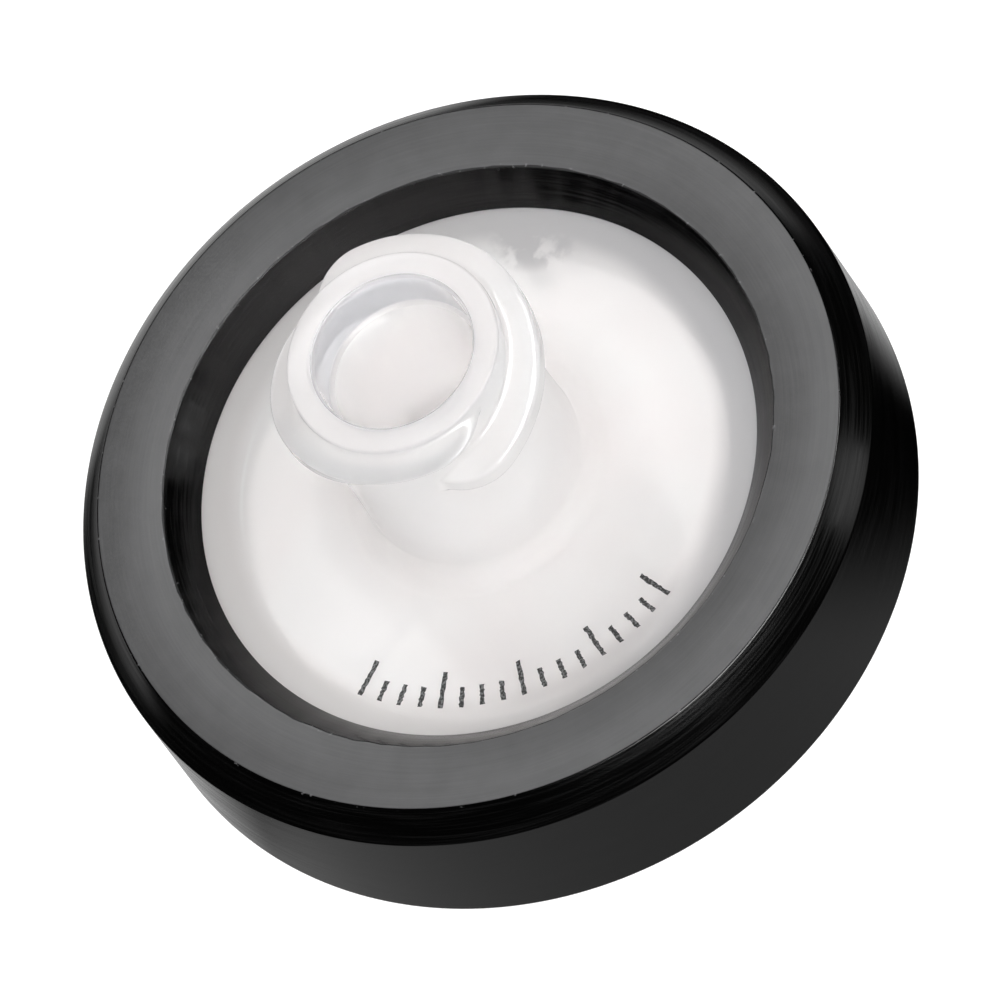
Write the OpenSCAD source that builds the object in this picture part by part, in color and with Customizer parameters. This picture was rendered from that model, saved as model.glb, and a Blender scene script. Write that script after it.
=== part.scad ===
// Disposable syringe filter: two moulded housing halves clamp a membrane disc,
// and a ring moulded over their edges seals them. The inlet is a female Luer
// lock hub with two helical lugs, the outlet a male Luer slip tip.
// Millimetres. +Z runs up the flow axis towards the inlet, and the origin is
// the centre of the outlet tip's end face.

/* [Ring] */
// Outer diameter of the ring
ring_d = 22.4; // [18:0.1:32]
// Thickness of the ring's wall outside the flanges
ring_wall = 1.4; // [1:0.1:2.5]
// Distance that the ring's lips reach in over the flanges
ring_lip = 1.95; // [1.2:0.05:3]
// Thickness of the ring's lips, which is the depth of the disc below the ring's face
window_depth = 1; // [0.6:0.1:1.4]
// Slope of the lips' inner edges, across the radius
ring_bevel = 0.8; // [0:0.05:1]
// Chamfer on the ring's outer edges, across the radius
chamfer_w = 0.7; // [0.2:0.05:1]
// Chamfer on the ring's outer edges, along the axis
chamfer_h = 0.82; // [0.2:0.02:1.2]

/* [Housing flanges] */
// Thickness of the outlet flange, up to the membrane
outlet_flange_t = 1.8; // [1.4:0.1:3]
// Thickness of the inlet flange, down to the membrane
inlet_flange_t = 1.75; // [1.2:0.05:3]
// Chamfer on the flanges' outer edges, which keys them into the ring
flange_key = 0.4; // [0:0.05:0.6]
// Depth of the step that centres one flange on the other
register_depth = 0.5; // [0.3:0.1:0.8]
// Clearance round that step and round the membrane
register_gap = 0.05; // [0.02:0.01:0.15]

/* [Membrane and chambers] */
// Distance of the membrane's edge from the flanges' edge
membrane_inset = 1.25; // [0.8:0.05:2]
// Width of the membrane's clamped edge, outside the wetted area
clamp_w = 1.65; // [1:0.05:3]
// Thickness of the membrane
membrane_t = 0.15; // [0.1:0.01:0.3]
// Height of the inlet chamber over the membrane
chamber_h = 0.35; // [0.2:0.05:0.6]
// Depth of the drain grooves under the membrane
groove_depth = 0.5; // [0.3:0.05:0.8]

/* [Inlet hub] */
// Height of the hub's mouth above the ring's front face
hub_stand = 6.35; // [5.5:0.05:9]
// Outer diameter of the hub at its mouth
hub_d = 5.96; // [5.7:0.02:6.3]
// Draft of the hub's outside, per side over its whole height
hub_draft = 0.12; // [0:0.02:0.3]
// Fillet at the hub's root
hub_fillet = 0.7; // [0.2:0.1:1.2]
// Bore diameter in the plane of the mouth
luer_mouth_d = 4.3; // [4.2:0.01:4.4]
// Thickness of the floor between the tapered bore and the chamber
hub_floor_t = 0.95; // [0.5:0.05:1.5]
// Chamfer at the mouth of the bore
luer_lead_in = 0.12; // [0.05:0.01:0.3]
// Diameter of the hole between the bore and the chamber
throat_d = 2.6; // [1.5:0.1:3]

/* [Locking lugs] */
// Diameter across the two lugs at their widest, away from the mouth
lug_d = 7.74; // [7.5:0.02:7.83]
// Taper of the lugs' crests towards the mouth, in degrees
lug_taper = 4; // [0:0.5:8]
// Lead of the two-start thread that the lugs are cut from
lug_lead = 5; // [4.5:0.1:5.5]
// Width of a lug's crest along the axis
lug_crest_w = 0.55; // [0.3:0.05:0.7]
// Slope of a lug's flanks from the plane across the axis, in degrees
lug_flank = 25; // [15:1:35]
// Angle that each lug spans round the hub, in degrees
lug_span = 230; // [160:2:240]
// Angle over which a lug's end runs out into the hub, in degrees
lug_runout = 38; // [10:1:60]
// Distance of a lug's lower crest edge below the mouth, halfway along the lug
lug_drop = 1.14; // [0.9:0.02:2]
// Distance of the lugs' bevelled top below the mouth, at the hub's wall
lug_top_step = 0.1; // [0.05:0.01:0.3]
// Distance of the bevel's outer edge below the mouth
lug_bevel_drop = 0.38; // [0.3:0.02:0.8]
// Least width of a lug's crest, where the bevel runs along it
lug_thin_w = 0.12; // [0.05:0.01:0.2]
// Break on the edges of a lug's crest
lug_edge_break = 0.1; // [0:0.01:0.15]
// Depth that a lug is rooted in the hub's wall
lug_root_depth = 0.25; // [0.15:0.05:0.4]

/* [Outlet] */
// Diameter of the tapered tip at its end
tip_d = 3.96; // [3.9:0.01:4]
// Length of the taper
tip_length = 8.3; // [7.5:0.1:9]
// Chamfer round the tip's end
tip_chamfer = 0.12; // [0.05:0.01:0.3]
// Diameter of the outlet's bore
outlet_bore_d = 2.2; // [1.5:0.1:2.6]
// Height of the boss, from the tip's shoulder to the ring's rear face
boss_h = 1.7; // [0.8:0.1:4]
// Diameter of the boss at the tip's shoulder
boss_d = 5.8; // [5.2:0.1:7]
// Draft of the boss, per side over its whole height
boss_draft = 0.3; // [0:0.05:0.6]
// Fillet at the boss's root
boss_fillet = 0.6; // [0.2:0.1:1]

/* [Flow ribs] */
// Number of radial ribs over the membrane, and of radial grooves under it
spoke_count = 8; // [4:1:12]
// Width of a radial rib
rib_w = 0.5; // [0.3:0.05:0.8]
// Distance that the radial ribs keep from the throat and from the chamber's wall
rib_end_gap = 0.7; // [0.3:0.1:1.5]
// Gap between the radial ribs and the membrane
rib_tip_gap = 0.05; // [0.02:0.01:0.15]
// Width of a radial groove
groove_w = 0.6; // [0.3:0.05:0.9]
// Extra depth of the radial grooves
groove_step = 0.1; // [0:0.05:0.3]
// Number of concentric ribs that carry the membrane
ring_rib_count = 6; // [3:1:8]
// Width of a concentric rib
ring_rib_w = 0.35; // [0.2:0.05:0.5]
// Width of the step round the outlet's bore, where the grooves meet
well_w = 0.4; // [0.2:0.1:1]

/* [Hidden] */
$fn = 96;
eps = 0.01;

// A Luer taper opens by 6 per cent of its length, which is 3 per cent a side.
luer_slope = 0.03;

// Heights of the stack, from the outlet tip up.
shoulder_z = tip_length;
rear_z = shoulder_z + boss_h;
disc_rear_z = rear_z + window_depth;
seat_z = disc_rear_z + outlet_flange_t;
membrane_top_z = seat_z + membrane_t;
disc_front_z = membrane_top_z + inlet_flange_t;
front_z = disc_front_z + window_depth;
mouth_z = front_z + hub_stand;
register_z = seat_z - register_depth;
groove_floor_z = seat_z - groove_depth;
roof_z = membrane_top_z + chamber_h;
luer_floor_z = roof_z + hub_floor_t;

// Radii from the ring's outside in, and from the bore out.
ring_r = ring_d / 2;
flange_r = ring_r - ring_wall;
window_r = flange_r - ring_lip;
membrane_r = flange_r - membrane_inset;
register_r = membrane_r + register_gap;
chamber_r = membrane_r - clamp_w;
hub_r = hub_d / 2;
bore_r = outlet_bore_d / 2;
well_r = bore_r + well_w;

// A lug's crest radius, the radius inside the hub's wall where it is rooted, and
// the turn in degrees between the sections it is swept through.
lug_r = lug_d / 2;
lug_root_r = hub_r - lug_root_depth;
lug_step = 4;

// The solid of revolution under a polygon of [radius, height] points.
module turned(points) {
    rotate_extrude() polygon(points);
}

// The round in the corner between a wall at the left and a floor below: a square
// less a circle. Its back is sunk a little into both.
module corner_fillet(size) {
    difference() {
        translate([-size / 2, -eps]) square([size * 1.5, size + eps]);
        translate([size, size]) circle(size);
    }
}

// Both flanges together, as the ring meets them: a disc with keyed edges.
module flange_pair() {
    turned([
        [0, disc_rear_z],
        [flange_r - flange_key, disc_rear_z],
        [flange_r, disc_rear_z + flange_key],
        [flange_r, disc_front_z - flange_key],
        [flange_r - flange_key, disc_front_z],
        [0, disc_front_z]
    ]);
}

// A lug rises out of the hub at both ends: 0 at an end, 1 past the run-out.
function run_out(a) = sin(90 * max(0, min(1, (lug_span / 2 - abs(a)) / lug_runout)));
// The height of a lug's lower crest edge at angle a from the lug's middle. It climbs
// with the thread's lead, and levels off where the bevel leaves it no room.
function crest_low_z(a) = mouth_z - max(lug_drop - lug_lead * a / 360, lug_bevel_drop + lug_thin_w);
function crest_high_z(a) = min(crest_low_z(a) + lug_crest_w, mouth_z - lug_bevel_drop);
// The crest's radius, which tapers towards the mouth and falls off at the ends.
function crest_r(a) = let (
    lowest = crest_low_z(-lug_span / 2),
    full_r = lug_r - (crest_low_z(a) - lowest) * tan(lug_taper)
) lug_root_r + eps + (full_r - lug_root_r - eps) * run_out(a);

// One lug's section at angle a, as [radius, height] points: up the crest from the
// lower root, over its two broken edges, and back to the upper root.
function lug_section(a) = let (
    r = crest_r(a),
    low = crest_low_z(a),
    high = crest_high_z(a),
    edge = min(lug_edge_break, (high - low) / 3, (r - lug_root_r) / 2),
    slope = tan(lug_flank),
    rise = (r - lug_root_r) * slope
) [
    [lug_root_r, low - rise],
    [r - edge, low - edge * slope],
    [r, low + edge],
    [r, high - edge],
    [r - edge, high + edge * slope],
    [lug_root_r, min(high + rise, mouth_z - lug_top_step)]
];

// A lug is its section swept round the hub in steps, closed by its two end sections.
module lug() {
    n = ceil(lug_span / lug_step);
    m = len(lug_section(0));
    points = [
        for (i = [0 : n], p = lug_section(lug_span * (i / n - 0.5)))
            let (a = lug_span * (i / n - 0.5)) [p[0] * cos(a), p[0] * sin(a), p[1]]
    ];
    sides = [
        for (i = [0 : n - 1], j = [0 : m - 1])
            let (k = (j + 1) % m)
            each [
                [i * m + j, i * m + k, (i + 1) * m + j],
                [i * m + k, (i + 1) * m + k, (i + 1) * m + j]
            ]
    ];
    ends = [[for (j = [m - 1 : -1 : 0]) j], [for (j = [0 : m - 1]) n * m + j]];
    polyhedron(points, concat(sides, ends));
}

module lugs() {
    for (turn = [180, 0]) rotate([0, 0, turn]) lug();
}

// The hub's outside, with its draft and root fillet.
module hub_shell() {
    root_r = hub_r + hub_draft;
    turned([
        [0, disc_front_z - eps],
        [root_r, disc_front_z - eps],
        [root_r, disc_front_z],
        [hub_r, mouth_z],
        [0, mouth_z]
    ]);
    rotate_extrude() translate([root_r - eps, disc_front_z]) corner_fillet(hub_fillet);
}

// The tapered bore with its lead-in, and the throat down to the chamber.
module inlet_bore() {
    mouth_r = luer_mouth_d / 2;
    turned([
        [0, mouth_z + eps],
        [mouth_r + luer_lead_in + eps, mouth_z + eps],
        [mouth_r - luer_slope * luer_lead_in, mouth_z - luer_lead_in],
        [mouth_r - luer_slope * (mouth_z - luer_floor_z), luer_floor_z],
        [0, luer_floor_z]
    ]);
    translate([0, 0, roof_z - eps]) cylinder(d = throat_d, h = luer_floor_z - roof_z + 2 * eps);
}

module inlet_housing() {
    color("whitesmoke") difference() {
        union() {
            flange_pair();
            hub_shell();
            lugs();
        }
        inlet_bore();
        // The outlet flange's half of the stack, and the membrane's seat.
        translate([0, 0, disc_rear_z - eps])
            cylinder(r = flange_r + eps, h = register_z - disc_rear_z + eps);
        translate([0, 0, register_z - eps])
            cylinder(r = register_r + register_gap, h = membrane_top_z - register_z + eps);
        // The chamber, less the ribs that spread the flow.
        difference() {
            translate([0, 0, membrane_top_z - eps]) cylinder(r = chamber_r, h = chamber_h + eps);
            inlet_ribs();
        }
    }
}

// Radial ribs under the chamber's roof, which stop just short of the membrane.
module inlet_ribs() {
    start_r = throat_d / 2 + rib_end_gap;
    end_r = chamber_r - rib_end_gap;
    for (i = [0 : spoke_count - 1]) rotate([0, 0, 360 * (i + 0.5) / spoke_count])
        translate([start_r, -rib_w / 2, membrane_top_z + rib_tip_gap])
            cube([end_r - start_r, rib_w, chamber_h]);
}

module membrane() {
    color("white") translate([0, 0, seat_z]) cylinder(r = membrane_r, h = membrane_t);
}

// The drain field under the membrane: a well, concentric grooves with a rib inside
// each, and radial grooves that join them.
module drain_grooves() {
    pitch = (chamber_r - well_r) / ring_rib_count;
    translate([0, 0, groove_floor_z]) linear_extrude(groove_depth + eps) {
        circle(well_r);
        for (i = [0 : ring_rib_count - 1]) difference() {
            circle(well_r + pitch * (i + 1));
            circle(well_r + pitch * i + ring_rib_w);
        }
    }
    for (i = [0 : spoke_count - 1]) rotate([0, 0, 360 * i / spoke_count])
        translate([0, -groove_w / 2, groove_floor_z - groove_step])
            cube([chamber_r - ring_rib_w, groove_w, groove_depth + groove_step + eps]);
}

module outlet_housing() {
    boss_r = boss_d / 2;
    root_r = boss_r + boss_draft;
    tip_r = tip_d / 2;
    color("whitesmoke") difference() {
        union() {
            // The flange up to the membrane's seat, stepped down at its edge.
            intersection() {
                flange_pair();
                turned([
                    [0, disc_rear_z - eps],
                    [flange_r + eps, disc_rear_z - eps],
                    [flange_r + eps, register_z],
                    [register_r, register_z],
                    [register_r, seat_z],
                    [0, seat_z]
                ]);
            }
            // The tapered tip, its shoulder and the boss that carries it.
            turned([
                [0, 0],
                [tip_r - tip_chamfer, 0],
                [tip_r + luer_slope * tip_chamfer, tip_chamfer],
                [tip_r + luer_slope * tip_length, shoulder_z],
                [boss_r - tip_chamfer, shoulder_z],
                [boss_r, shoulder_z + tip_chamfer],
                [root_r, disc_rear_z],
                [root_r, disc_rear_z + eps],
                [0, disc_rear_z + eps]
            ]);
            rotate_extrude() translate([root_r - eps, disc_rear_z])
                mirror([0, 1]) corner_fillet(boss_fillet);
        }
        translate([0, 0, -eps]) cylinder(r = bore_r, h = seat_z + 2 * eps);
        drain_grooves();
    }
}

module overmould_ring() {
    mouth_r = window_r + ring_bevel;
    color("dimgray") difference() {
        turned([
            [window_r, disc_rear_z],
            [mouth_r, rear_z],
            [ring_r - chamfer_w, rear_z],
            [ring_r, rear_z + chamfer_h],
            [ring_r, front_z - chamfer_h],
            [ring_r - chamfer_w, front_z],
            [mouth_r, front_z],
            [window_r, disc_front_z]
        ]);
        flange_pair();
    }
}

outlet_housing();
membrane();
inlet_housing();
overmould_ring();
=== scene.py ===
"""A disposable syringe filter, standing on its outlet tip on a pale table.

Two milky housings clamp a white membrane, and a black ring is moulded over their
edges. Every piece is modelled round the Z axis, in metres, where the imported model
has it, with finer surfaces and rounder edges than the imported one.
"""

import math
import random

import bmesh
import bpy
from mathutils import Matrix, Vector, noise


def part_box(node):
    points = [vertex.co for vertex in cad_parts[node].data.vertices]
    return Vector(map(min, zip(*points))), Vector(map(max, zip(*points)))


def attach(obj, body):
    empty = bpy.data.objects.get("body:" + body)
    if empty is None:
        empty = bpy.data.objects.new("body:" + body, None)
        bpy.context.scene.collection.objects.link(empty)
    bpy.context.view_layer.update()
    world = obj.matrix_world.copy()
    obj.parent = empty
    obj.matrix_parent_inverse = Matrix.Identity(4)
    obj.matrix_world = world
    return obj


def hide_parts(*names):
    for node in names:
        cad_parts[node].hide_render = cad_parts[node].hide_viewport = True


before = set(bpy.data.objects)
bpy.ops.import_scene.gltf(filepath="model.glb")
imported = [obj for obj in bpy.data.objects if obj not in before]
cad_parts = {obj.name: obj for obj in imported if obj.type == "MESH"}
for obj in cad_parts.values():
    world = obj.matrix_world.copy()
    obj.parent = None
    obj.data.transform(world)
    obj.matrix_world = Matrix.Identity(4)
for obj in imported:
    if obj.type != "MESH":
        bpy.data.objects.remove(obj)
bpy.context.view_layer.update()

MM = 0.001

# ---------------------------------------------------------------- sizes, in millimetres


def packed_extent(node):
    """The lowest height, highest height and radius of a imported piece."""
    low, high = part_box(node)
    return low.z / MM, high.z / MM, min(high.x, high.y) / MM


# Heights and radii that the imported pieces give.
REAR_Z, FRONT_Z, RING_R = packed_extent("overmould_ring")
REGISTER_Z, MOUTH_Z, FLANGE_R = packed_extent("inlet_housing")
SEAT_Z, MEMBRANE_TOP_Z, MEMBRANE_R = packed_extent("membrane")
TIP_Z = packed_extent("outlet_housing")[0]

# The ring and the disc inside it.
WINDOW_DEPTH = 1.0
WINDOW_R = 7.85
RING_BEVEL = 0.8
CHAMFER_W = 0.7
CHAMFER_H = 0.82
FLANGE_KEY = 0.4
LIP_R = WINDOW_R + RING_BEVEL
RIM_R = RING_R - CHAMFER_W
DISC_FRONT_Z = FRONT_Z - WINDOW_DEPTH
DISC_REAR_Z = REAR_Z + WINDOW_DEPTH

# How far the ring's lip wanders from its circle, how wide the wandering edge is, and its waves.
LIP_RAGGED = 0.03
LIP_ROUGH_W = 0.08
LIP_WANDER = 18.0

# The chamber over the membrane and the drain field under it.
CLAMP_W = 1.65
CHAMBER_R = MEMBRANE_R - CLAMP_W
CHAMBER_H = 0.35
REGISTER_GAP = 0.05
GROOVE_DEPTH = 0.5
RIB_W = 0.5
RIB_END_GAP = 0.7
RIB_TIP_GAP = 0.05
SPOKE_COUNT = 8
GROOVE_W = 0.6
GROOVE_STEP = 0.1
RING_RIB_COUNT = 6
RING_RIB_W = 0.35
ROOF_Z = MEMBRANE_TOP_Z + CHAMBER_H
GROOVE_FLOOR_Z = SEAT_Z - GROOVE_DEPTH

# The inlet hub and its bore, with the small step where the lead-in ends.
HUB_R = 2.98
HUB_DRAFT = 0.12
HUB_FILLET = 0.7
LUER_MOUTH_R = 2.15
LUER_SLOPE = 0.03
LUER_LEAD_IN = 0.12
LUER_STEP_DROP = 1.5
LUER_STEP_W = 0.12
LUER_STEP_H = 0.1
LUER_STEP_Z = MOUTH_Z - LUER_STEP_DROP
HUB_FLOOR_T = 0.95
THROAT_R = 1.3

# The two locking lugs, cut from a two-start thread.
LUG_R = 3.87
LUG_TAPER = math.tan(math.radians(4))
LUG_LEAD = 5.0
LUG_CREST_W = 0.55
LUG_FLANK = math.tan(math.radians(25))
LUG_SPAN = 230.0
LUG_RUNOUT = 38.0
LUG_DROP = 1.14
LUG_TOP_STEP = 0.1
LUG_BEVEL_DROP = 0.38
LUG_THIN_W = 0.12
LUG_ROOT_DEPTH = 0.25
LUG_ZONE_H = 3.2
LUG_ROWS = 124
LUG_EDGE_SOFT = 0.17
LUG_ROOT_SOFT = 0.16

# The outlet tip and the boss that carries it.
TIP_R = 1.98
TIP_LENGTH = 8.3
TIP_CHAMFER = 0.12
OUTLET_BORE_R = 1.1
WELL_R = 1.5
BOSS_R = 2.9
BOSS_DRAFT = 0.3
BOSS_FILLET = 0.6

# How round the corners are that the mould leaves, and the steps of a turned or a round surface.
CRISP = 0.02
FINE_ROUND = 0.03
CHAMFER_ROUND = 0.04
EDGE_ROUND = 0.05
RIM_ROUND = 0.07
SOFT_ROUND = 0.1
EDGE_SEGMENTS = 3
FILLET_SEGMENTS = 8
TURN_STEPS = 256
SHARP_ANGLE = 40.0

# The printed scale on the disc, as strokes along an arc, with angles in degrees from +X.
MARK_COUNT = 17
MARK_EVERY = 4
MARK_START = 210.0
MARK_END = 288.0
MARK_OUTER_R = 7.05
MARK_LONG = 1.05
MARK_SHORT = 0.6
MARK_W = 0.13
MARK_RAGGED = 0.018
MARK_STEPS = 12
INK_T = 0.01
PRINT_SEED = 4

# Where the edge of the filtering area reaches inward in ragged patches, and where a weld line shows at the
# other side.
RAGGED_PATCH_AT = (4.5, 4.6, 0.0)
RAGGED_PATCH_R = 1.7
WELD_AT = (-5.3, 4.2, DISC_FRONT_Z)
WELD_R = 6.73
WELD_W = 0.09
WELD_LENGTH = 2.5

# The side of the ring's face where its painted sheen drifts up towards the rim, as a heading.
SHEEN_DRIFT_TOWARDS = (0.77, -0.64, 0.0)

# Clearance that keeps faces of different pieces from sharing a plane.
FIT = 0.005

# ---------------------------------------------------------------- turned pieces


def turned(outline):
    """A closed outline of [radius, height, corner round] points, turned round the Z axis."""
    bm = bmesh.new()
    corners = [bm.verts.new((r * MM, 0, z * MM)) for r, z, _ in outline]
    for i, corner in enumerate(corners):
        bm.edges.new((corners[i - 1], corner))
    for corner, (_, _, size) in zip(corners, outline):
        if size:
            bmesh.ops.bevel(
                bm, geom=[corner], offset=size * MM, offset_type="OFFSET", affect="VERTICES",
                segments=EDGE_SEGMENTS if size < SOFT_ROUND else FILLET_SEGMENTS, profile=0.5, material=-1,
            )
    bmesh.ops.spin(
        bm, geom=bm.verts[:] + bm.edges[:], axis=(0, 0, 1), angle=math.tau,
        steps=TURN_STEPS, use_merge=True,
    )
    bmesh.ops.recalc_face_normals(bm, faces=bm.faces[:])
    return bm


def boxed(low, high, turns):
    """A box between two corners, repeated at each of those turns round the Z axis, in degrees."""
    bm = bmesh.new()
    middle = Vector([(a + b) / 2 * MM for a, b in zip(low, high)])
    size = Vector([(b - a) * MM for a, b in zip(low, high)])
    for turn in turns:
        matrix = Matrix.Rotation(math.radians(turn), 4, "Z") @ Matrix.Translation(middle)
        bmesh.ops.create_cube(bm, size=1, matrix=matrix @ Matrix.Diagonal((*size, 1)))
    return bm


def combined(body, tools, operation):
    """The body with the tools joined to it or cut from it."""
    shapes = []
    for bm in (body, tools):
        mesh = bpy.data.meshes.new("shape")
        bm.to_mesh(mesh)
        bm.free()
        shapes.append(bpy.data.objects.new("shape", mesh))
        bpy.context.scene.collection.objects.link(shapes[-1])
    boolean = shapes[0].modifiers.new("boolean", "BOOLEAN")
    boolean.operation = operation
    boolean.solver = "EXACT"
    boolean.object = shapes[1]
    result = bmesh.new()
    result.from_object(shapes[0], bpy.context.evaluated_depsgraph_get())
    for shape in shapes:
        bpy.data.meshes.remove(shape.data)
    return result


def finished(bm, name, material, slot, *nodes):
    """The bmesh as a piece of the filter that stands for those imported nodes."""
    mesh = bpy.data.meshes.new(name)
    bm.to_mesh(mesh)
    bm.free()
    mesh.shade_smooth()
    mesh.set_sharp_from_angle(angle=math.radians(SHARP_ANGLE))
    mesh.materials.append(material)
    piece = bpy.data.objects.new(name, mesh)
    bpy.context.scene.collection.objects.link(piece)
    weighted = piece.modifiers.new("flat_faces_stay_flat", "WEIGHTED_NORMAL")
    weighted.keep_sharp = True
    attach(piece, "root")
    if nodes:
        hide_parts(*nodes)


def sealing_ring():
    """The black ring, with a groove inside that holds both flanges and a lip that isn't quite true."""
    flange_r = FLANGE_R + FIT
    front = DISC_FRONT_Z + FIT
    rear = DISC_REAR_Z - FIT
    bm = turned([
        (WINDOW_R, front, FINE_ROUND),
        (LIP_R, FRONT_Z, EDGE_ROUND),
        (RIM_R, FRONT_Z, EDGE_ROUND),
        (RING_R, FRONT_Z - CHAMFER_H, EDGE_ROUND),
        (RING_R, REAR_Z + CHAMFER_H, EDGE_ROUND),
        (RIM_R, REAR_Z, EDGE_ROUND),
        (LIP_R, REAR_Z, EDGE_ROUND),
        (WINDOW_R, rear, FINE_ROUND),
        (flange_r - FLANGE_KEY, rear, 0),
        (flange_r, rear + FLANGE_KEY, 0),
        (flange_r, front - FLANGE_KEY, 0),
        (flange_r - FLANGE_KEY, front, 0),
    ])
    for vert in bm.verts:
        r = math.hypot(vert.co.x, vert.co.y)
        if abs(r / MM - LIP_R) < LIP_ROUGH_W:
            around = Vector((vert.co.x, vert.co.y, 0)) / r * LIP_WANDER
            shift = 1 + noise.noise(around) * LIP_RAGGED / LIP_R
            vert.co.x *= shift
            vert.co.y *= shift
    return bm


# ---------------------------------------------------------------- inlet housing


def soft_min(a, b, width):
    """The smaller value, rounded where the two come within that width of each other."""
    blend = max(width - abs(a - b), 0)
    return min(a, b) - blend * blend / (4 * width)


def soft_max(a, b, width):
    return -soft_min(-a, -b, width)


def lug_radius(angle, z):
    """The radius of a lug's surface at an angle from the lug's middle, in degrees, and a height."""
    def crest_low(at):
        return MOUTH_Z - max(LUG_DROP - LUG_LEAD * at / 360, LUG_BEVEL_DROP + LUG_THIN_W)

    root_r = HUB_R - LUG_ROOT_DEPTH
    run_out = max(0.0, min(1.0, (LUG_SPAN / 2 - abs(angle)) / LUG_RUNOUT))
    low = crest_low(angle)
    high = min(low + LUG_CREST_W, MOUTH_Z - LUG_BEVEL_DROP)
    full_r = LUG_R - (low - crest_low(-LUG_SPAN / 2)) * LUG_TAPER
    proud = (full_r - root_r) * math.sin(math.pi / 2 * run_out)
    if proud < FIT:
        return 0.0
    crest_r = root_r + proud
    top = min(high + proud * LUG_FLANK, MOUTH_Z - LUG_TOP_STEP)
    under_flank = crest_r + (z - low) / LUG_FLANK
    over_flank = crest_r - (z - high) * proud / (top - high)
    return soft_min(soft_min(under_flank, over_flank, LUG_EDGE_SOFT), crest_r, LUG_EDGE_SOFT)


def raise_lugs(bm):
    """Pushes the hub's wall out into the two lugs, whose middles are at -X and +X."""
    zone_low = MOUTH_Z - LUG_TOP_STEP - LUG_ZONE_H
    for vert in bm.verts:
        r = math.hypot(vert.co.x, vert.co.y) / MM
        z = vert.co.z / MM
        if r > HUB_R - FIT and zone_low < z < MOUTH_Z:
            angle = math.degrees(math.atan2(vert.co.y, vert.co.x))
            lug = max(lug_radius((angle - turn + 180) % 360 - 180, z) for turn in (0, 180))
            grown = soft_max(r, lug, LUG_ROOT_SOFT) / r
            vert.co.x *= grown
            vert.co.y *= grown


def inlet_shell():
    """The upper housing: a flanged disc, ribbed underneath, with the female Luer lock hub on top."""
    root_r = HUB_R + HUB_DRAFT
    step_r = LUER_MOUTH_R - LUER_SLOPE * LUER_STEP_DROP
    floor_z = ROOF_Z + HUB_FLOOR_T
    floor_r = LUER_MOUTH_R - LUER_SLOPE * (MOUTH_Z - floor_z)
    socket_r = MEMBRANE_R + 2 * REGISTER_GAP
    zone_top = MOUTH_Z - LUG_TOP_STEP
    wall_slope = HUB_DRAFT / (MOUTH_Z - DISC_FRONT_Z)

    def wall_r(z):
        return HUB_R + wall_slope * (MOUTH_Z - z)

    bm = turned([
        (THROAT_R, ROOF_Z, EDGE_ROUND),
        (THROAT_R, floor_z, EDGE_ROUND),
        (floor_r, floor_z, SOFT_ROUND),
        (step_r, LUER_STEP_Z, CRISP),
        (step_r + LUER_STEP_W, LUER_STEP_Z + LUER_STEP_H, CRISP),
        (step_r + LUER_STEP_W, MOUTH_Z - LUER_LEAD_IN, EDGE_ROUND),
        (LUER_MOUTH_R + LUER_LEAD_IN, MOUTH_Z, CHAMFER_ROUND),
        (HUB_R, MOUTH_Z, RIM_ROUND),
        *[
            (wall_r(z), z, 0)
            for z in (zone_top - LUG_ZONE_H * i / LUG_ROWS for i in range(LUG_ROWS + 1))
        ],
        (root_r, DISC_FRONT_Z, HUB_FILLET),
        (FLANGE_R - FLANGE_KEY, DISC_FRONT_Z, 0),
        (FLANGE_R, DISC_FRONT_Z - FLANGE_KEY, 0),
        (FLANGE_R, REGISTER_Z, 0),
        (socket_r, REGISTER_Z, 0),
        (socket_r, MEMBRANE_TOP_Z, 0),
        (CHAMBER_R, MEMBRANE_TOP_Z, EDGE_ROUND),
        (CHAMBER_R, ROOF_Z, SOFT_ROUND),
    ])
    ribs = boxed(
        (THROAT_R + RIB_END_GAP, -RIB_W / 2, MEMBRANE_TOP_Z + RIB_TIP_GAP),
        (CHAMBER_R - RIB_END_GAP, RIB_W / 2, ROOF_Z + CHAMBER_H),
        [360 * (i + 0.5) / SPOKE_COUNT for i in range(SPOKE_COUNT)],
    )
    bm = combined(bm, ribs, "UNION")
    raise_lugs(bm)
    return bm


# ---------------------------------------------------------------- outlet housing and membrane


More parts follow.
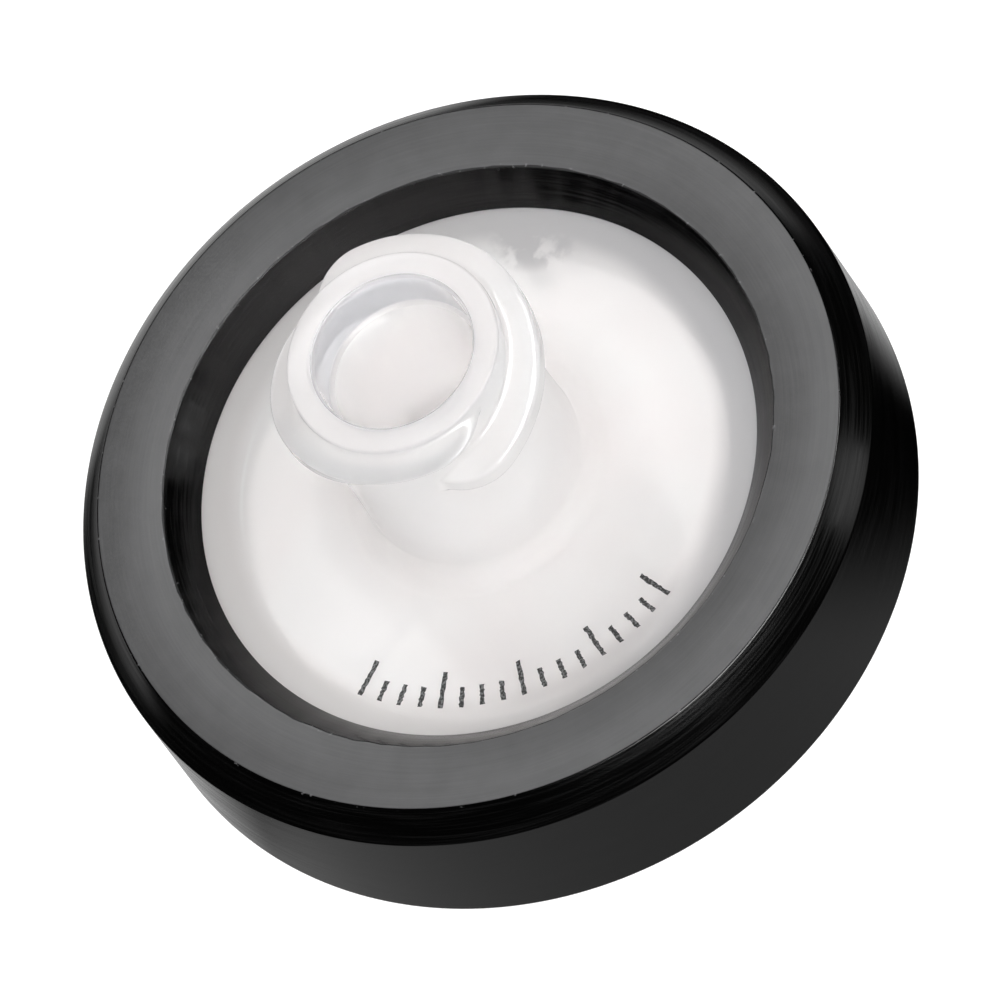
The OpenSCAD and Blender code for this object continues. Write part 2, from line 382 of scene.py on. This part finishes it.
def outlet_shell():
    """The lower housing: the membrane's seat with its drain grooves, and the male Luer slip tip."""
    root_r = BOSS_R + BOSS_DRAFT
    register_r = MEMBRANE_R + REGISTER_GAP
    shoulder_z = TIP_Z + TIP_LENGTH
    pitch = (CHAMBER_R - WELL_R) / RING_RIB_COUNT
    outline = [
        (OUTLET_BORE_R, TIP_Z, EDGE_ROUND),
        (TIP_R - TIP_CHAMFER, TIP_Z, CHAMFER_ROUND),
        (TIP_R + LUER_SLOPE * TIP_CHAMFER, TIP_Z + TIP_CHAMFER, CHAMFER_ROUND),
        (TIP_R + LUER_SLOPE * TIP_LENGTH, shoulder_z, SOFT_ROUND),
        (BOSS_R - TIP_CHAMFER, shoulder_z, CHAMFER_ROUND),
        (BOSS_R, shoulder_z + TIP_CHAMFER, CHAMFER_ROUND),
        (root_r, DISC_REAR_Z, BOSS_FILLET),
        (FLANGE_R - FLANGE_KEY, DISC_REAR_Z, 0),
        (FLANGE_R, DISC_REAR_Z + FLANGE_KEY, 0),
        (FLANGE_R, REGISTER_Z - FIT, 0),
        (register_r, REGISTER_Z - FIT, 0),
        (register_r, SEAT_Z, 0),
    ]
    for i in reversed(range(RING_RIB_COUNT)):
        rib_r = WELL_R + pitch * i
        outline += [
            (rib_r + pitch, SEAT_Z, CRISP),
            (rib_r + pitch, GROOVE_FLOOR_Z, EDGE_ROUND),
            (rib_r + RING_RIB_W, GROOVE_FLOOR_Z, EDGE_ROUND),
            (rib_r + RING_RIB_W, SEAT_Z, CRISP),
        ]
    outline += [
        (WELL_R, SEAT_Z, CRISP),
        (WELL_R, GROOVE_FLOOR_Z, EDGE_ROUND),
        (OUTLET_BORE_R, GROOVE_FLOOR_Z, FINE_ROUND),
    ]
    grooves = boxed(
        (0, -GROOVE_W / 2, GROOVE_FLOOR_Z - GROOVE_STEP),
        (CHAMBER_R - RING_RIB_W, GROOVE_W / 2, SEAT_Z + GROOVE_DEPTH),
        [360 * i / SPOKE_COUNT for i in range(SPOKE_COUNT)],
    )
    return combined(turned(outline), grooves, "DIFFERENCE")


def filter_disc():
    """The membrane, with a narrow rim that keeps its cut edge crisp."""
    bm = bmesh.new()
    bmesh.ops.create_cone(
        bm, cap_ends=True, segments=TURN_STEPS, radius1=MEMBRANE_R * MM, radius2=MEMBRANE_R * MM,
        depth=(MEMBRANE_TOP_Z - SEAT_Z - 2 * FIT) * MM,
        matrix=Matrix.Translation((0, 0, (SEAT_Z + MEMBRANE_TOP_Z) / 2 * MM)),
    )
    caps = [face for face in bm.faces if abs(face.normal.z) > 0.5]
    bmesh.ops.inset_region(bm, faces=caps, thickness=CRISP * MM)
    return bm


# ---------------------------------------------------------------- printed scale


def print_marks():
    """A plain scale of strokes, printed on the disc along an arc, with the ragged edge of jetted ink."""
    draw = random.Random(PRINT_SEED)
    bm = bmesh.new()
    for i in range(MARK_COUNT):
        length = MARK_LONG if i % MARK_EVERY == 0 else MARK_SHORT
        stroke = bmesh.ops.create_grid(bm, x_segments=1, y_segments=MARK_STEPS, size=0.5 * MM)["verts"]
        bmesh.ops.scale(bm, vec=(MARK_W, length, 1), verts=stroke)
        for vert in stroke:
            vert.co.x += draw.uniform(-1, 1) * MARK_RAGGED * MM
            vert.co.y += draw.uniform(-1, 1) * MARK_RAGGED * MM
        angle = MARK_START + (MARK_END - MARK_START) * i / (MARK_COUNT - 1)
        outward = Matrix.Translation((0, -(MARK_OUTER_R - length / 2) * MM, (DISC_FRONT_Z + FIT) * MM))
        turn = Matrix.Rotation(math.radians(angle + 90), 4, "Z")
        bmesh.ops.transform(bm, matrix=turn @ outward, verts=stroke)
    bmesh.ops.solidify(bm, geom=bm.faces[:], thickness=INK_T * MM)
    bmesh.ops.recalc_face_normals(bm, faces=bm.faces[:])
    return bm


# ---------------------------------------------------------------- shader helpers


def new_material(name):
    material = bpy.data.materials.new(name)
    material.use_nodes = True
    return material, material.node_tree, material.node_tree.nodes["Principled BSDF"]


def set_shader(shader, **values):
    """Sets the shader's own sockets, which hold what is the same all over a surface."""
    for key, value in values.items():
        shader.inputs[key.replace("_", " ")].default_value = value


def feed(tree, socket, value):
    """Gives a socket its value, which is a number, a colour or another node's output."""
    if isinstance(value, bpy.types.NodeSocket):
        tree.links.new(value, socket)
    else:
        socket.default_value = value


def place(tree, kind, inputs=None, **settings):
    """Adds a shader node of that kind, with its inputs and its settings."""
    node = tree.nodes.new("ShaderNode" + kind)
    for key, value in settings.items():
        setattr(node, key, value)
    for key, value in (inputs or {}).items():
        feed(tree, node.inputs[key], value)
    return node


def calc(tree, operation, *values):
    return place(tree, "Math", dict(enumerate(values)), operation=operation).outputs[0]


def more(tree, value, mask, amount):
    """The value with that amount of a mask added to it."""
    return calc(tree, "MULTIPLY_ADD", mask, amount, value)


def ramp(tree, value, low, high, at_low=0.0, at_high=1.0):
    """Maps a value smoothly from low..high to at_low..at_high."""
    return place(tree, "MapRange", {
        "Value": value, "From Min": low, "From Max": high, "To Min": at_low, "To Max": at_high,
    }, interpolation_type="SMOOTHSTEP").outputs["Result"]


def near(tree, value, target, width):
    """A mask that is 1 where a value is the target, in millimetres, and 0 past that width from it."""
    away = calc(tree, "ABSOLUTE", calc(tree, "SUBTRACT", value, target * MM))
    return ramp(tree, away, 0.0, width * MM, 1.0, 0.0)


def mix(tree, factor, first, second):
    """Blends two colours."""
    return place(tree, "Mix", {0: factor, 6: first, 7: second}, data_type="RGBA").outputs[2]


def blend(tree, factor, first, second):
    """Blends two numbers."""
    return place(tree, "Mix", {0: factor, 2: first, 3: second}, data_type="FLOAT").outputs[0]


def vector(tree, operation, *values):
    """The output of a Vector Math node, which is a number for a length, a distance or a dot product."""
    node = place(tree, "VectorMath", dict(enumerate(values)), operation=operation)
    is_number = operation in ("LENGTH", "DISTANCE", "DOT_PRODUCT")
    return node.outputs["Value" if is_number else "Vector"]


def flattened(tree, position):
    return vector(tree, "MULTIPLY", position, (1, 1, 0))


def radius_of(tree, position):
    return vector(tree, "LENGTH", flattened(tree, position))


def distance_to(tree, position, target):
    """How far a position is from a target, which is given in millimetres."""
    return vector(tree, "DISTANCE", position, tuple(value * MM for value in target))


def parts_of(tree, position):
    return place(tree, "SeparateXYZ", {0: position}).outputs


def position_of(tree):
    return place(tree, "TexCoord").outputs["Object"]


def cloud_noise(tree, position, size, detail):
    """Noise whose clouds are about that size, in metres."""
    per_cloud = calc(tree, "DIVIDE", 1.0, size)
    return place(tree, "TexNoise", {"Vector": position, "Scale": per_cloud, "Detail": detail}).outputs["Fac"]


def new_group(name, inputs, outputs):
    """A node group. Inputs are name: default, outputs are names, and both become its sockets."""
    tree = bpy.data.node_groups.new(name, "ShaderNodeTree")
    for key, value in inputs.items():
        kind = "NodeSocketVector" if isinstance(value, tuple) else "NodeSocketFloat"
        tree.interface.new_socket(key, in_out="INPUT", socket_type=kind).default_value = value
    for key in outputs:
        tree.interface.new_socket(key, in_out="OUTPUT", socket_type="NodeSocketFloat")
    return tree, tree.nodes.new("NodeGroupInput").outputs, tree.nodes.new("NodeGroupOutput").inputs


def use_group(tree, group, **inputs):
    """Places a node group in a tree. An input's name has underscores for its spaces."""
    node = tree.nodes.new("ShaderNodeGroup")
    node.node_tree = group
    for key, value in inputs.items():
        feed(tree, node.inputs[key.replace("_", " ")], value)
    return node.outputs


# ---------------------------------------------------------------- shared effects


def moulded_grain():
    """The fine skin that a mould leaves: a cloudy waviness with small pits in it."""
    tree, given, result = new_group(
        "moulded_grain", {"Position": (0.0, 0.0, 0.0), "Grain Size": 0.1 * MM}, ["Grain", "Cloud"],
    )
    cloud_size = calc(tree, "DIVIDE", given["Grain Size"], 0.07)
    feed(tree, result["Grain"], cloud_noise(tree, given["Position"], given["Grain Size"], 0.0))
    feed(tree, result["Cloud"], cloud_noise(tree, given["Position"], cloud_size, 2.0))
    return tree


def turned_lines():
    """Fine lines that run round the Z axis, as a turned mould leaves them."""
    tree, given, result = new_group(
        "turned_lines", {"Position": (0.0, 0.0, 0.0), "Line Width": 0.05 * MM, "Wander": 6.0}, ["Lines"],
    )
    flat = flattened(tree, given["Position"])
    heading = vector(tree, "NORMALIZE", flat)
    around = parts_of(tree, vector(tree, "MULTIPLY", heading, given["Wander"]))
    across = calc(tree, "DIVIDE", vector(tree, "LENGTH", flat), given["Line Width"])
    along = calc(tree, "DIVIDE", parts_of(tree, given["Position"])["Z"], given["Line Width"])
    where = place(tree, "CombineXYZ", {"X": around["X"], "Y": around["Y"], "Z": across}).outputs[0]
    lines = place(
        tree, "TexNoise", {"Vector": where, "W": along, "Scale": 1.0, "Detail": 1.0},
        noise_dimensions="4D",
    )
    feed(tree, result["Lines"], lines.outputs["Fac"])
    return tree


def handling_nicks():
    """Small bright nicks, in the places where a mask says that edges get knocked."""
    tree, given, result = new_group(
        "handling_nicks", {"Position": (0.0, 0.0, 0.0), "Nick Size": 0.1 * MM, "Where": 1.0}, ["Nicks"],
    )
    peaks = cloud_noise(tree, given["Position"], given["Nick Size"], 1.0)
    sharp = place(tree, "MapRange", {"Value": peaks, "From Min": 0.68, "From Max": 0.74})
    feed(tree, result["Nicks"], calc(tree, "MULTIPLY", sharp.outputs["Result"], given["Where"]))
    return tree


def sealed_edge():
    """The edge of the filtering area: a mask that is 0 inside a radius and 1 outside, reaching inward in
    ragged patches at one place.
    """
    tree, given, result = new_group(
        "sealed_edge", {"Position": (0.0, 0.0, 0.0), "Softness": 0.25 * MM, "Patch Reach": 1.0 * MM}, ["Sealed"],
    )
    flat = flattened(tree, given["Position"])
    close = ramp(tree, distance_to(tree, flat, RAGGED_PATCH_AT), 0.0, RAGGED_PATCH_R * MM, 1.0, 0.0)
    rags = ramp(tree, cloud_noise(tree, flat, 0.8 * MM, 4.0), 0.35, 0.6)
    uneven = more(tree, vector(tree, "LENGTH", flat), calc(tree, "MULTIPLY", close, rags), given["Patch Reach"])
    waves = calc(tree, "SUBTRACT", cloud_noise(tree, flat, 4 * MM, 1.0), 0.5)
    uneven = more(tree, uneven, waves, 0.5 * MM)
    low = calc(tree, "SUBTRACT", CHAMBER_R * MM, given["Softness"])
    high = calc(tree, "ADD", CHAMBER_R * MM, given["Softness"])
    feed(tree, result["Sealed"], ramp(tree, uneven, low, high))
    return tree


# ---------------------------------------------------------------- materials


def milky_plastic(grain_group, edge_group):
    """Unfilled polypropylene: hazy all through, with a smooth skin and faint flow clouds."""
    material, tree, shader = new_material("milky_plastic")
    set_shader(
        shader, IOR=1.49, Transmission_Weight=0.62, Subsurface_Weight=1.0,
        Subsurface_Radius=(1, 1, 1), Subsurface_Scale=1.5 * MM, Coat_Roughness=0.1, Coat_IOR=1.45,
    )
    spot = position_of(tree)
    part = parts_of(tree, spot)
    radius = radius_of(tree, spot)
    grain = use_group(tree, grain_group, Position=spot, Grain_Size=0.25 * MM)
    clouds = ramp(tree, grain["Cloud"], 0.35, 0.65)

    # Masks: the band behind the sealed edge, which holds painted shade; the weld line; the bore wall above
    # its step, which holds painted shade; the rim, whose greyer colour is painted shade; the hub's foot.
    across = ramp(tree, part["X"], -FLANGE_R * MM, FLANGE_R * MM)
    sealed = use_group(tree, edge_group, Position=spot, Softness=0.35 * MM)["Sealed"]
    painted_shade_band = calc(tree, "MULTIPLY", sealed, more(tree, 0.23, across, 0.28))
    along_weld = ramp(tree, distance_to(tree, spot, WELD_AT), 0, WELD_LENGTH * MM, 1, 0)
    weld = calc(tree, "MULTIPLY", near(tree, radius, WELD_R, WELD_W), along_weld)
    in_bore = ramp(tree, radius, (LUER_MOUTH_R + 0.1) * MM, (LUER_MOUTH_R + 0.3) * MM, 1.0, 0.0)
    above_step = ramp(tree, part["Z"], LUER_STEP_Z * MM, (LUER_STEP_Z + 2 * LUER_STEP_H) * MM)
    shaded_lead_in = calc(tree, "MULTIPLY", in_bore, above_step)
    rim = ramp(tree, part["Z"], (MOUTH_Z - 0.2) * MM, (MOUTH_Z - 0.05) * MM, 0.0, 0.5)
    by_hub = ramp(tree, radius, (HUB_R + HUB_FILLET) * MM, (HUB_R + 3 * HUB_FILLET) * MM, 1.0, 0.0)
    low = ramp(tree, part["Z"], FRONT_Z * MM, (FRONT_Z + 3) * MM, 1.0, 0.0)
    foot = calc(tree, "MULTIPLY", by_hub, low)

    colour = mix(tree, clouds, (0.915, 0.89, 0.885, 1), (0.945, 0.925, 0.92, 1))
    # Painted shade: the plastic over the clamped band is greyed where the black ring's shade shows through,
    # and darker towards +X, the side that gets less light.
    painted_shade_colour = mix(tree, across, (0.3, 0.27, 0.24, 1), (0.2, 0.21, 0.24, 1))
    colour = mix(tree, painted_shade_band, colour, painted_shade_colour)
    colour = mix(tree, weld, colour, (0.98, 0.97, 0.96, 1))
    # Painted shade: the bore wall above the step is painted darker and bluer, as if little light reached it.
    colour = mix(tree, shaded_lead_in, colour, (0.6, 0.61, 0.64, 1))
    # Painted shade: the hub's upward-facing rim is painted greyer, dimming how brightly it is lit from
    # above.
    colour = mix(tree, rim, colour, (0.72, 0.7, 0.71, 1))
    feed(tree, shader.inputs["Base Color"], colour)
    waxy = more(tree, more(tree, 0.33, clouds, 0.05), foot, 0.45)
    feed(tree, shader.inputs["Roughness"], blend(tree, in_bore, waxy, 0.25))
    feed(tree, shader.inputs["Coat Weight"], more(tree, 1.0, calc(tree, "MAXIMUM", foot, rim), -0.9))
    bump = place(tree, "Bump", {"Height": grain["Grain"], "Distance": 0.002 * MM, "Strength": 0.5})
    feed(tree, shader.inputs["Normal"], bump.outputs[0])
    return material


def membrane_white(grain_group, edge_group):
    """The filter membrane: bright white in the chamber, greyer where the housings clamp it."""
    material, tree, shader = new_material("membrane_white")
    spot = position_of(tree)
    grain = use_group(tree, grain_group, Position=spot, Grain_Size=0.3 * MM)
    clamped = use_group(tree, edge_group, Position=spot, Softness=0.25 * MM)["Sealed"]
    white = mix(tree, ramp(tree, grain["Cloud"], 0.35, 0.65), (0.5, 0.485, 0.48, 1), (0.56, 0.545, 0.54, 1))
    feed(tree, shader.inputs["Base Color"], mix(tree, clamped, white, (0.06, 0.06, 0.066, 1)))
    feed(tree, shader.inputs["Roughness"], ramp(tree, grain["Grain"], 0.3, 0.7, 0.7, 0.95))
    return material


def black_plastic(grain_group, lines_group, nicks_group):
    """Black polypropylene: the flat faces are satin, the turned faces glossy with fine lines."""
    material, tree, shader = new_material("black_plastic")
    set_shader(shader, IOR=1.4)
    coordinates = place(tree, "TexCoord").outputs
    spot = coordinates["Object"]
    radius = radius_of(tree, spot)
    grain = use_group(tree, grain_group, Position=spot, Grain_Size=0.06 * MM)
    lines = use_group(tree, lines_group, Position=spot, Line_Width=0.045 * MM, Wander=4.0)["Lines"]
    bands = use_group(tree, lines_group, Position=spot, Line_Width=0.4 * MM, Wander=1.5)["Lines"]

    # Masks: faces that lie flat, the lip, which holds a painted highlight, the rim, and the painted sheen
    # that drifts over the face.
    upright = calc(tree, "ABSOLUTE", parts_of(tree, coordinates["Normal"])["Z"])
    flat = ramp(tree, upright, 0.9, 0.985)
    lip = near(tree, radius, LIP_R, 0.1)
    rim = near(tree, radius, RIM_R, 0.05)
    nicks = use_group(
        tree, nicks_group, Position=spot, Nick_Size=0.15 * MM, Where=calc(tree, "MAXIMUM", lip, rim),
    )["Nicks"]
    # Painted sheen: the face's tone rises towards the rim on one side and towards the lip on the other, as a
    # reflection would drift over it.
    facing = calc(tree, "DIVIDE", vector(tree, "DOT_PRODUCT", spot, SHEEN_DRIFT_TOWARDS), radius)
    outward = ramp(tree, radius, LIP_R * MM, RIM_R * MM, -1.0, 1.0)
    painted_sheen_drift = calc(tree, "MULTIPLY", facing, outward)
    turned_streaks = calc(tree, "MULTIPLY", ramp(tree, lines, 0.45, 0.75), calc(tree, "SUBTRACT", 1.0, flat))

    face = more(tree, 0.049, ramp(tree, grain["Cloud"], 0.3, 0.7), 0.006)
    face = more(tree, face, lines, 0.02)
    # Painted highlight: the lip gets a lighter line here and again below, where its edge catches light.
    face = more(tree, face, lip, 0.012)
    face = more(tree, face, bands, 0.016)
    face = more(tree, face, painted_sheen_drift, 0.022)
    tone = calc(tree, "MULTIPLY", face, flat)
    tone = more(tree, tone, turned_streaks, 0.002)
    tone = more(tree, tone, near(tree, radius, LIP_R, 0.05), 0.03)
    tone = more(tree, tone, nicks, 0.08)
    tone = calc(tree, "ADD", tone, 0.0006)
    bluish = calc(tree, "MULTIPLY", tone, 1.02)
    colour = place(tree, "CombineColor", {0: tone, 1: tone, 2: bluish})
    feed(tree, shader.inputs["Base Color"], colour.outputs[0])
    glossy = ramp(tree, lines, 0.3, 0.7, 0.13, 0.26)
    satin = ramp(tree, grain["Grain"], 0.3, 0.7, 0.36, 0.46)
    feed(tree, shader.inputs["Roughness"], blend(tree, flat, glossy, satin))
    relief = more(tree, blend(tree, flat, lines, grain["Grain"]), nicks, 2.0)
    bump = place(tree, "Bump", {"Height": relief, "Distance": 0.002 * MM, "Strength": 0.5})
    feed(tree, shader.inputs["Normal"], bump.outputs[0])
    return material


def print_ink(grain_group):
    """Jetted ink, thin enough in places for the plastic to show through."""
    material, tree, shader = new_material("print_ink")
    grain = use_group(tree, grain_group, Position=position_of(tree), Grain_Size=0.07 * MM)["Grain"]
    thin = ramp(tree, grain, 0.42, 0.66)
    feed(tree, shader.inputs["Base Color"], mix(tree, thin, (0.012, 0.012, 0.012, 1), (0.14, 0.14, 0.14, 1)))
    feed(tree, shader.inputs["Roughness"], ramp(tree, grain, 0.3, 0.7, 0.45, 0.7))
    return material


# ---------------------------------------------------------------- stage, lights, camera


# What glossy plastic mirrors of the table: middle, radius and soft edge in mm, and brightness.
LIGHT_POOLS = (
    (-6, 16, 16, 6, 0.7),
    (12, 8, 5, 3, 0.7),
    (-4.5, -12, 18.5, 3, 0.34),
    (-4, 32, 14, 3, 0.6),
    (0, 410, 360, 15, 1.0),
)
TABLE_W = 1.6


def floor():
    """The table. It looks white, but glossy plastic mirrors only a few pools of light on it."""
    material, tree, shader = new_material("pale_table")
    set_shader(
        shader, Base_Color=(0.35, 0.35, 0.35, 1), Roughness=0.8, Emission_Color=(1, 1, 1, 1),
        Emission_Strength=0.8,
    )
    spot = position_of(tree)
    glow = 0.0
    for x, y, radius, soft, brightness in LIGHT_POOLS:
        away = distance_to(tree, spot, (x, y, 0))
        pool = ramp(tree, away, (radius - soft) * MM, (radius + soft) * MM, brightness, 0.0)
        glow = calc(tree, "MAXIMUM", glow, pool)
    mirrored = place(tree, "Emission", {"Strength": glow})
    path = place(tree, "LightPath").outputs
    seen_directly = calc(tree, "SUBTRACT", 1.0, path["Is Transmission Ray"])
    in_reflection = calc(tree, "MULTIPLY", path["Is Glossy Ray"], seen_directly)
    seen = place(tree, "MixShader", {0: in_reflection, 1: shader.outputs[0], 2: mirrored.outputs[0]})
    feed(tree, tree.nodes["Material Output"].inputs["Surface"], seen.outputs[0])
    bm = bmesh.new()
    under = Matrix.Translation((0, 0, (TIP_Z - 2 * FIT) * MM))
    bmesh.ops.create_grid(bm, x_segments=8, y_segments=8, size=TABLE_W / 2, matrix=under)
    mesh = bpy.data.meshes.new("table")
    bm.to_mesh(mesh)
    bm.free()
    mesh.materials.append(material)
    table = bpy.data.objects.new("table", mesh)
    bpy.context.scene.collection.objects.link(table)


def softbox(name, azimuth, elevation, distance, width, height, power, gloss=True, haze=True):
    """A rectangular light, seen from the filter at that azimuth and elevation in degrees.

    Without gloss it casts no shadow and makes no highlight, and only fills the milky plastic.
    Without haze it makes highlights and lights nothing else.
    """
    a, e = math.radians(azimuth), math.radians(elevation)
    towards = Vector((math.cos(a) * math.cos(e), math.sin(a) * math.cos(e), math.sin(e)))
    light = bpy.data.lights.new(name, "AREA")
    light.shape = "RECTANGLE"
    light.size = width
    light.size_y = height
    light.energy = power
    light.use_shadow = gloss
    lamp = bpy.data.objects.new(name, light)
    lamp.visible_glossy = gloss
    lamp.visible_diffuse = haze
    lamp.visible_transmission = haze
    lamp.location = towards * distance + Vector((0, 0, FRONT_Z * MM))
    lamp.rotation_euler = towards.to_track_quat("Z", "Y").to_euler()
    bpy.context.scene.collection.objects.link(lamp)


def studio():
    """Soft white surroundings that glossy plastic doesn't mirror, and the lamps."""
    world = bpy.data.worlds.new("studio")
    bpy.context.scene.world = world
    world.use_nodes = True
    background = world.node_tree.nodes["Background"]
    background.inputs["Color"].default_value = (1, 1, 1, 1)
    background.inputs["Strength"].default_value = 0.43
    world.cycles_visibility.glossy = False
    softbox("back_softbox", 90, 58, 0.5, 0.3, 0.3, 0.7)
    softbox("front_strip", -50, 54, 0.35, 0.6, 0.03, 1.0)
    softbox("gloss_strip", -60, 43, 0.4, 0.3, 0.07, 0.95, haze=False)
    softbox("front_fill", -85, 22, 0.5, 0.3, 0.3, 1.0, gloss=False)
    softbox("left_fill", -160, 25, 0.5, 0.3, 0.3, 0.95, gloss=False)
    softbox("right_softbox", -22, 12, 0.4, 0.12, 0.12, 0.065)


def camera():
    """Looks down at the filter from the front, rolled so that its axis leans to the left."""
    elevation = math.radians(57.8)
    roll = math.radians(36.06)
    lens = 1000.0
    sensor = 36.0
    view_width = 26.85
    aim_right = 0.89
    aim_up = -1.22
    back = Vector((0, -math.cos(elevation), math.sin(elevation)))
    level_up = back.cross(Vector((1, 0, 0)))
    right = Vector((math.cos(roll), 0, 0)) - level_up * math.sin(roll)
    up = Vector((math.sin(roll), 0, 0)) + level_up * math.cos(roll)
    aim = Vector((0, 0, FRONT_Z)) + right * aim_right + up * aim_up
    data = bpy.data.cameras.new("camera")
    data.lens = lens
    data.sensor_width = sensor
    data.clip_start = 0.01
    data.clip_end = 10
    view = bpy.data.objects.new("camera", data)
    place_in_world = Matrix((right, up, back)).transposed().to_4x4()
    place_in_world.translation = (aim + back * view_width * lens / sensor) * MM
    view.matrix_world = place_in_world
    bpy.context.scene.collection.objects.link(view)
    bpy.context.scene.camera = view


# ---------------------------------------------------------------- the filter on its table

camera()
studio()
floor()
bpy.context.scene.view_settings.view_transform = "Standard"

grain = moulded_grain()
lines = turned_lines()
nicks = handling_nicks()
edge = sealed_edge()
milky = milky_plastic(grain, edge)
black = black_plastic(grain, lines, nicks)

finished(inlet_shell(), "inlet_shell", milky, "natural_plastic", "inlet_housing")
finished(outlet_shell(), "outlet_shell", milky, "natural_plastic", "outlet_housing")
finished(filter_disc(), "filter_disc", membrane_white(grain, edge), "membrane", "membrane")
finished(sealing_ring(), "sealing_ring", black, "black_plastic", "overmould_ring")
finished(print_marks(), "print_marks", print_ink(grain), "black_plastic")
